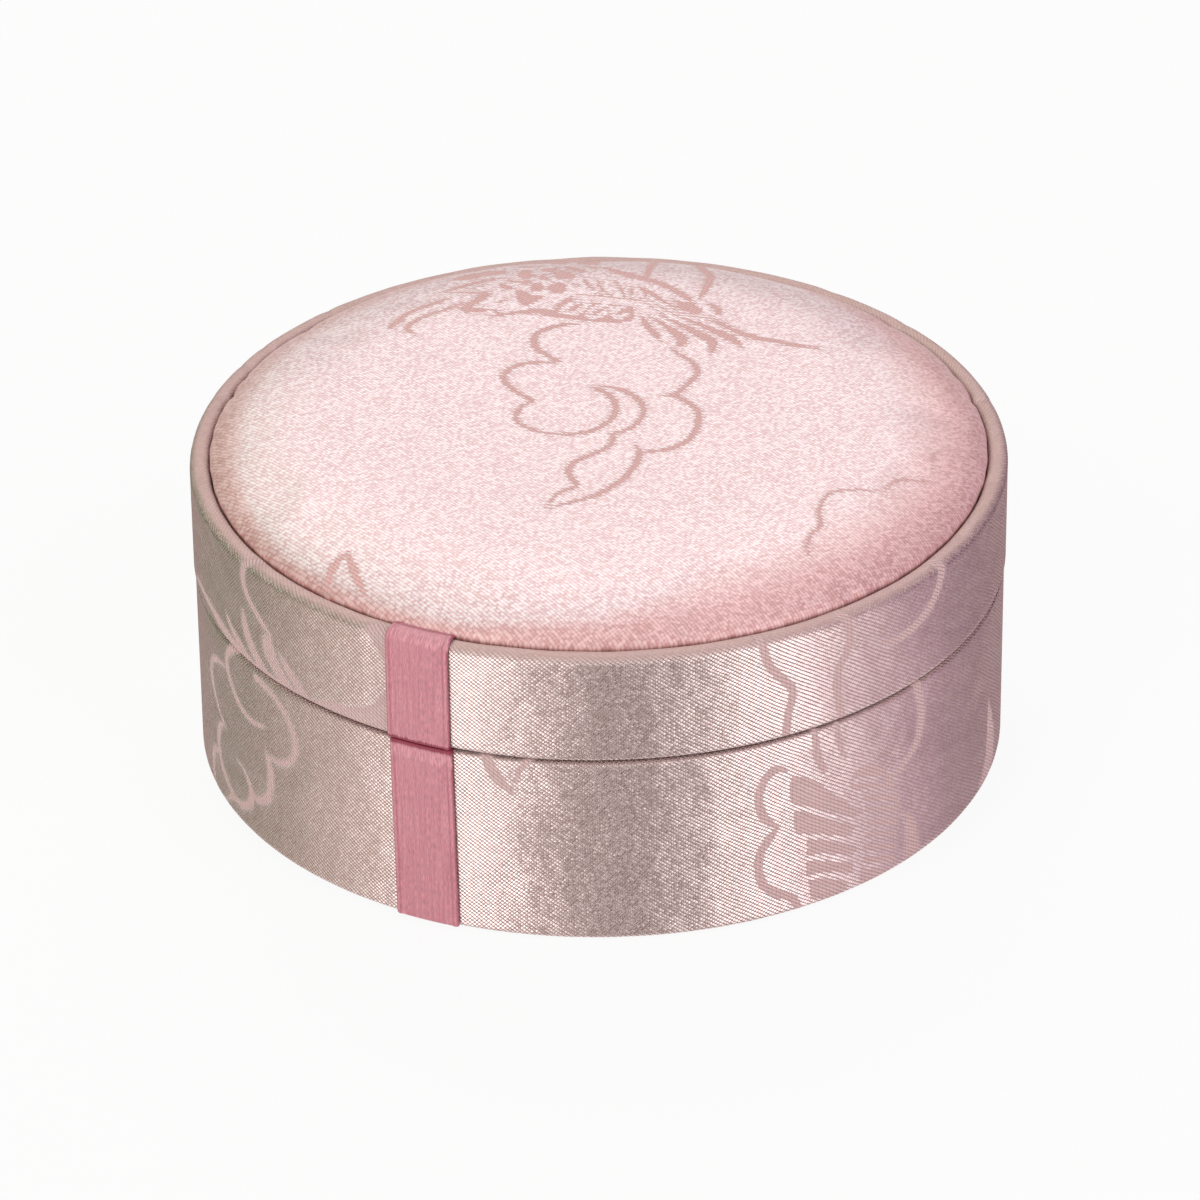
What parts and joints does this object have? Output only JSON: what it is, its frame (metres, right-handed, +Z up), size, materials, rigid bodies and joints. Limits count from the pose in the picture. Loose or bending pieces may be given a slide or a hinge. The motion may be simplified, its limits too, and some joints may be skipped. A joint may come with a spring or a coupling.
{
  "type": "bangle box",
  "caption": "Round fabric-covered board box with a lift-off lid on an inner neck, a padded crowned top, a ribbon band, and a lined interior with a centre post for bangles.",
  "frame": {"origin": "centre of the underside, on the surface that the box stands on", "axes": "+Z up along the box's own axis and the way the lid lifts; the ribbon band is at the front, at -Y; +X to the right seen from the front"},
  "size_m": [0.11, 0.1105, 0.0475],
  "materials": {
    "brocade": "satin",
    "pad_brocade": "satin",
    "satin": "satin",
    "ribbon": "satin",
    "board": "matte",
    "foam": "matte",
    "underside_paper": "matte"
  },
  "bodies": {
    "base": {"underside_sheet": "underside_paper", "base_wall_board": "board", "base_floor_board": "board", "base_wall_cover": "brocade", "base_ribbon": "ribbon", "neck_board": "board", "neck_lining": "satin", "floor_cushion_card": "board", "floor_cushion_foam": "foam", "floor_cushion_cover": "satin", "post_card": "board", "post_foam": "foam", "post_cover": "satin"},
    "lid": {"lid_wall_board": "board", "lid_deck_board": "board", "lid_wall_cover": "brocade", "lid_ribbon": "ribbon", "lid_wall_lining": "satin", "ceiling_card": "board", "ceiling_foam": "foam", "ceiling_cover": "satin", "top_pad_card": "board", "top_pad_foam": "foam", "top_pad_cover": "pad_brocade"}
  },
  "joints": [
    {"name": "lid_lift", "type": "slide", "parent": "base", "child": "lid", "axis": [0, 0, 1], "range_m": [0, 0.06]}
  ]
}
